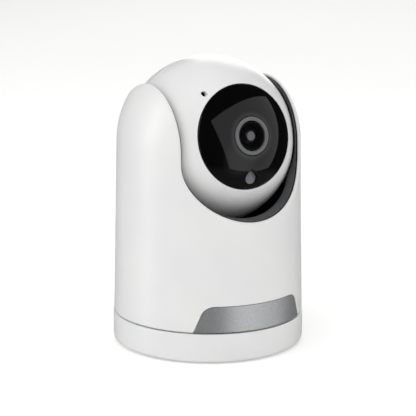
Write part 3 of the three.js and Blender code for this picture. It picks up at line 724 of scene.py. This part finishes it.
def gridPiece(name, sections):
    # a flat grid laid over the sections, row by row
    rows, columns = sections.shape[0] - 1, sections.shape[1] - 1
    bpy.ops.object.select_all(action="DESELECT")
    bpy.ops.mesh.primitive_grid_add(x_subdivisions=columns, y_subdivisions=rows, size=1)
    piece = bpy.context.object
    piece.name = name
    for vertex in piece.data.vertices:
        column = round((vertex.co.x + 0.5) * columns)
        row = round((vertex.co.y + 0.5) * rows)
        vertex.co = Vector(sections[row, column]) * mm
    bpy.ops.object.mode_set(mode="EDIT")
    tidyMesh()
    return piece


rearLook = {
    "cutPlace": 37, "cutDepth": 8, "holeFrom": 30, "holeTo": 45,  # along Y, through the rear wall
    "grilleWidths": [12, 16, 18, 16, 12], "grilleLow": 20, "grilleStep": 2.6,
    "slotHeight": 1.2, "slotRound": 0.55,
    "cardWidth": 12.4, "cardHeight": 1.8, "cardPlace": 37.1, "cardRound": 0.6,
    "resetRadius": 1.8, "resetPlace": (12.5, 37.4),
}
panelLook = {
    "halfBottom": 24.7, "shoulder": 20.9, "low": 13.0, "high": 23.5, "corner": 3.2,
    "thick": 0.9, "proud": 0.05,
    "sideSteps": 14, "cornerSteps": 12, "columns": 72, "edgeBreak": 0.22,
    "seatGap": 0.22, "seatDepth": 1.15, "seatLow": 10, "seatHigh": 30, "seatReach": 45, "seatSteps": 240,
}


def skinRadius(height):
    share = (height - shellLook["bottom"]) / (axisHeight - shellLook["bottom"])
    return shellLook["bottomRadius"] + (shellLook["domeRadius"] - shellLook["bottomRadius"]) * share


def panelOutline(look, grow, low):
    # half widths from the bottom to the top, with a rounded top corner
    high = look["high"] + grow
    corner = look["corner"]
    slope = (look["halfBottom"] - look["shoulder"]) / (look["high"] - look["low"])
    rows = []
    for i in range(look["sideSteps"] + 1):
        z = low + (high - corner - low) * i / look["sideSteps"]
        rows.append((look["halfBottom"] + grow - slope * (z - look["low"]), z))
    side = rows[-1][0]
    for i in range(1, look["cornerSteps"] + 1):
        a = math.pi / 2 * i / look["cornerSteps"]
        z = high - corner + corner * math.sin(a)
        rows.append((side - slope * corner * math.sin(a) - corner * (1 - math.cos(a)), z))
    return rows


def panelSeat(look, bottom):
    # a ring just under the skin, cut to the panel's outline
    deep, low, high = look["seatDepth"], look["seatLow"], look["seatHigh"]
    outline = panelOutline(look, look["seatGap"], bottom)
    loop = outline + [(-x, z) for x, z in reversed(outline)]
    section = [(skinRadius(low) - deep, low), (look["seatReach"], low), (look["seatReach"], high),
               (skinRadius(high) - deep, high)]
    ring = turnedPiece("panel seat ring", section, steps=look["seatSteps"])
    return carve(ring, pushedPiece("panel seat outline", loop, -past, 0), operation="INTERSECT")


def makeBodyShell(look, rear, panel):
    shell = gridPiece("body_shell_moulding", shellSections(look))
    place, depth = rear["cutPlace"], rear["cutDepth"]
    cutters = [panelSeat(panel, look["bottom"] - 1)]
    for i, width in enumerate(rear["grilleWidths"]):
        size = (width, depth, rear["slotHeight"])
        middle = (0, place, rear["grilleLow"] + rear["grilleStep"] * i)
        cutters.append(blockPiece("grille slot", size, middle, rear["slotRound"]))
    size = (rear["cardWidth"], depth, rear["cardHeight"])
    cutters.append(blockPiece("card slot", size, (0, place, rear["cardPlace"]), rear["cardRound"]))
    start, end = rear["holeFrom"], rear["holeTo"]
    cutters.append(rodPiece("reset hole", rear["resetRadius"], start, end, *rear["resetPlace"]))
    carve(shell, *cutters)
    return dress(shell, whiteAbs, "turning_body", ["body_shell"], 32)


def makePanel(look):
    rows = []
    for half, z in panelOutline(look, 0, look["low"]):
        x = np.linspace(-half, half, look["columns"] + 1)
        radius = skinRadius(z) + look["proud"]
        rows.append(np.stack([x, -np.sqrt(radius ** 2 - x ** 2), np.full_like(x, z)], 1))
    panel = gridPiece("front_panel_plate", np.array(rows))
    if panel.data.polygons[0].normal.y > 0:
        panel.data.flip_normals()
    skin = panel.modifiers.new("thickness", "SOLIDIFY")
    skin.thickness = look["thick"] * mm
    skin.offset = -1
    bpy.context.view_layer.objects.active = panel
    bpy.ops.object.modifier_apply(modifier=skin.name)
    breakEdges(panel, look["edgeBreak"], 50, 3)
    return dress(panel, silverLacquer, "turning_body", ["front_trim_panel"])


linerLook = {
    "outer": 36.1, "inner": 35.3, "low": -0.22, "high": 0.85, "rows": 24,  # low and high in radians
    "wallDepth": 7, "wallThick": 1.4, "wallFoot": 40, "wallEnds": -10,
    "lip": 0.5, "overlap": 0.1, "shellGap": 0.75, "steps": 144,
}


def scoopOutline(look, centre, depth, grow, steps=64):
    half = look["scoopHalf"] + grow
    points = [(half, above), (-half, above)]
    for i in range(steps + 1):
        a = math.pi * i / steps
        points.append((-half * math.cos(a), centre - (depth + grow) * math.sin(a)))
    return points


def makeLiner(look, shell):
    steps, foot, inner, outer = look["steps"], look["wallFoot"], look["inner"], look["outer"]
    outline = arc(outer, axisHeight, look["low"], look["high"], look["rows"])
    outline += arc(inner, axisHeight, look["high"], look["low"], look["rows"])
    lining = turnedPiece("scoop_liner_moulding", outline, steps=steps)
    front = scoopOutline(shell, shell["frontCentre"], shell["frontDepth"], -look["lip"])
    rear = scoopOutline(shell, shell["rearCentre"], shell["rearDepth"], -look["lip"])
    carve(lining, pushedPiece("front scoop", front, -past, 2), pushedPiece("rear scoop", rear, 0, past))
    wide = scoopOutline(shell, shell["frontCentre"], shell["frontDepth"], look["wallThick"])
    wall = pushedPiece("scoop wall", wide, -past, look["wallEnds"])
    inside = skinRadius(foot) - shell["wall"] - look["shellGap"]
    room = [(0, foot), (inside, foot), (outer - look["overlap"], axisHeight), (0, axisHeight)]
    skin = [(0, foot), (skinRadius(foot), foot), (shell["domeRadius"], axisHeight), (0, axisHeight)]
    limit = turnedPiece("limit", skin, steps=steps)  # the skin's own shape, moved back by the wall's depth
    limit.data.transform(Matrix.Translation((0, look["wallDepth"] * mm, 0)))
    ball = ballPiece("ball room", inner, "Z", axisHeight, steps)
    carve(wall, pushedPiece("scoop inside", front, -past - 1, look["wallEnds"] + 1), limit, ball)
    carve(wall, turnedPiece("room", room, steps=steps), operation="INTERSECT")
    carve(lining, wall, operation="UNION")
    return dress(lining, greyAbs, "turning_body", ["scoop_liner"])


makeBodyShell(shellLook, rearLook, panelLook)
makePanel(panelLook)
makeLiner(linerLook, shellLook)


# the ball head is drawn level, with the lens looking along -Y, and dress tilts it up
ballLook = {
    "radius": 34.585, "wall": 1.8, "split": 0.15, "splitBreak": 0.25, "windowRadius": 21, "rimRound": 0.3,
    "micRadius": 1.1, "micPlace": (-14.7, 18.2), "micFrom": -40, "micTo": -15,
    "screwX": 13, "screwZ": -19, "screwRadius": 2.6, "seatFrom": 20.2, "seatTo": 40,
    "boreRadius": 1.4, "boreFrom": 9, "boreTo": 21,
    "bossWall": 0.9, "bossFrom": 10, "bossTo": 33, "bossInset": 0.6, "steps": 192,
}


def makeFrontShell(look):
    radius, wall, split = look["radius"], look["wall"], look["split"]
    start = -math.acos(look["windowRadius"] / radius)
    innerStart = -math.acos(look["windowRadius"] / (radius - wall))
    rim = look["rimRound"] / radius
    outer = arc(radius, 0, start + rim, -(split + look["splitBreak"]) / radius, 48)
    inner = arc(radius - wall, 0, -split / radius, innerStart, 30)
    rimCorner = (radius * math.cos(start), radius * math.sin(start))
    outline = roundCorner(rimCorner, inner[-1], outer[0], look["rimRound"], 5) + outer[1:]
    outline += [(radius - look["splitBreak"], -split)] + inner
    shell = turnedPiece("head_front_moulding", outline, "Y", look["steps"])
    carve(shell, rodPiece("mic hole", look["micRadius"], look["micFrom"], look["micTo"], *look["micPlace"]))
    return dress(shell, ballAbs, "tilting_head", ["head_front_shell"], 30, True)


def makeRearShell(look):
    radius, wall, split, z = look["radius"], look["wall"], look["split"], look["screwZ"]
    outline = arc(radius, 0, (split + look["splitBreak"]) / radius, math.pi / 2, 60)
    outline += arc(radius - wall, 0, math.pi / 2, split / radius, 40)
    outline += [(radius - look["splitBreak"], split)]
    shell = turnedPiece("head_rear_moulding", outline, "Y", look["steps"])
    wells = []
    for x in (-look["screwX"], look["screwX"]):
        wide = look["screwRadius"] + look["bossWall"]
        boss = rodPiece("boss", wide, look["bossFrom"], look["bossTo"], x, z)
        room = ballPiece("boss room", radius - look["bossInset"], "Y", 0, look["steps"])
        carve(boss, room, operation="INTERSECT")
        carve(shell, boss, operation="UNION")
        wells.append(rodPiece("screw seat", look["screwRadius"], look["seatFrom"], look["seatTo"], x, z))
        wells.append(rodPiece("screw bore", look["boreRadius"], look["boreFrom"], look["boreTo"], x, z))
    carve(shell, *wells)
    return dress(shell, ballAbs, "tilting_head", ["head_rear_shell"], 30, True)


dropLook = {"radius": 2.65, "tip": 2.6, "tipGrowth": 1.4, "pull": (0.95, 0.9), "roundCentre": -0.7,
            "curveSteps": 24, "roundSteps": 32}


def curvePoint(start, pull, end, t):
    # a point of the smooth curve that leaves start and reaches end, both aimed at pull
    return tuple(a * (1 - t) ** 2 + b * 2 * t * (1 - t) + c * t ** 2 for a, b, c in zip(start, pull, end))


def dropOutline(look, grow, place):
    # a drop, pointed above and round below
    radius = look["radius"] + grow
    tip = (0, look["tip"] + grow * look["tipGrowth"])
    low = look["roundCentre"]
    across, high = look["pull"]
    curve, bow = look["curveSteps"], look["roundSteps"]
    points = []
    for i in range(curve):
        points.append(curvePoint(tip, (-radius * across, high), (-radius, low), i / curve))
    for i in range(bow + 1):
        a = math.pi + math.pi * i / bow
        points.append((radius * math.cos(a), low + radius * math.sin(a)))
    for i in range(1, curve):
        points.append(curvePoint((radius, low), (radius * across, high), tip, i / curve))
    return [(x, z + place) for x, z in points]


windowLook = {
    "gap": 0.3, "bore": 7.9, "thick": 1.4, "edgeRound": 0.25, "dropPlace": -15.5, "dropGrow": 0.2,
    "collarGrow": 0.9, "collarFront": -33, "collarBack": -26.5, "collarInset": 0.8, "steps": 192,
}


def makeWindow(look, ball, drop):
    radius, bore, place = ball["radius"], look["bore"], look["dropPlace"]
    edge = ball["windowRadius"] - look["gap"]
    back = radius - look["thick"]
    soft = look["edgeRound"] / radius
    outer = arc(radius, 0, -math.acos(bore / radius) + soft, -math.acos(edge / radius) - soft, 40)
    inner = arc(back, 0, -math.acos(edge / back), -math.acos(bore / back), 12)
    boreCorner = (bore, -math.sqrt(radius ** 2 - bore ** 2))
    edgeCorner = (edge, -math.sqrt(radius ** 2 - edge ** 2))
    outline = roundCorner(boreCorner, inner[-1], outer[0], look["edgeRound"], 4) + outer[1:-1]
    outline += roundCorner(edgeCorner, outer[-1], inner[0], look["edgeRound"], 4) + inner
    window = turnedPiece("front_window_moulding", outline, "Y", look["steps"])
    wide = dropOutline(drop, look["collarGrow"], place)
    collar = pushedPiece("collar", wide, look["collarFront"], look["collarBack"])
    room = ballPiece("collar room", radius - look["collarInset"], "Y", 0, look["steps"])
    carve(collar, room, operation="INTERSECT")
    carve(window, collar, operation="UNION")
    carve(window, pushedPiece("drop opening", dropOutline(drop, look["dropGrow"], place), -past, 0))
    return dress(window, blackAcrylic, "tilting_head", ["front_window"], 30, True)


ringLook = {"inner": 6, "outer": 7.6, "front": -34.05, "back": -30.8, "round": 0.35, "steps": 128}


def makeRing(look):
    inner, outer, front, back = look["inner"], look["outer"], look["front"], look["back"]
    outline = roundCorner((inner, front), (inner, back), (outer, front), look["round"], 4)
    outline += roundCorner((outer, front), (inner, front), (outer, back), look["round"], 4)
    outline += [(outer, back), (inner, back)]
    ring = turnedPiece("lens_ring_turning", outline, "Y", look["steps"])
    return dress(ring, ringPaint, "tilting_head", ["lens_ring"], 30, True)


hoodLook = {
    "outer": 5.7, "front": -33.5, "back": -30.6, "throat": 3.9, "throatPlace": -31.4, "rim": 0.4,
    "grooves": 5, "groove": (0.12, 0.1), "steps": 128,
}


def makeHood(look):
    outer, front, throat, deep = look["outer"], look["front"], look["throat"], look["throatPlace"]
    mouth = outer - look["rim"]
    inset, step = look["groove"]
    outline = [(outer, front), (outer, look["back"]), (throat, look["back"]), (throat, deep)]
    for i in range(1, look["grooves"] + 1):  # shallow steps that trap stray light
        r = throat + (mouth - throat) * i / (look["grooves"] + 1)
        y = deep + (front - deep) * i / (look["grooves"] + 1)
        outline += [(r - inset, y + step), (r, y)]
    outline += [(mouth, front)]
    hood = turnedPiece("lens_hood_turning", outline, "Y", look["steps"])
    return dress(hood, hoodBlack, "tilting_head", ["lens_hood"], 30, True)


lensLook = {"radius": 3.5, "apex": -33.3, "bulge": 0.12, "back": -29.4, "capSteps": 20, "steps": 96}


def makeLens(look):
    radii = [look["radius"] * i / look["capSteps"] for i in range(look["capSteps"] + 1)]
    outline = [(r, look["apex"] + look["bulge"] * r ** 2) for r in radii]
    outline += [(look["radius"], look["back"]), (0, look["back"])]
    lens = turnedPiece("front_lens_glass", outline, "Y", look["steps"])
    return dress(lens, frontGlass, "tilting_head", ["front_lens"], 30, True)


guideLook = {"place": -15.5, "front": -29, "back": -26.2, "round": 0.35}


def makeGuide(look, drop):
    outline = dropOutline(drop, 0, look["place"])
    guide = pushedPiece("light_guide_moulding", outline, look["front"], look["back"])
    breakEdges(guide, look["round"], 60, 3)
    return dress(guide, smokedGuide, "tilting_head", ["light_sensor_guide"], 30, True)


makeFrontShell(ballLook)
makeRearShell(ballLook)
makeWindow(windowLook, ballLook, dropLook)
makeRing(ringLook)
makeHood(hoodLook)
makeLens(lensLook)
makeGuide(guideLook, dropLook)

bpy.ops.object.select_all(action="DESELECT")
bpy.ops.mesh.primitive_plane_add(size=floorSettings["reach"], location=(0, 0, 0))
floor = bpy.context.object
floor.name = "paper_floor"
floor.data.materials.append(floorPaper)
floor.visible_glossy = False  # the world's dark room is what glossy pieces mirror below
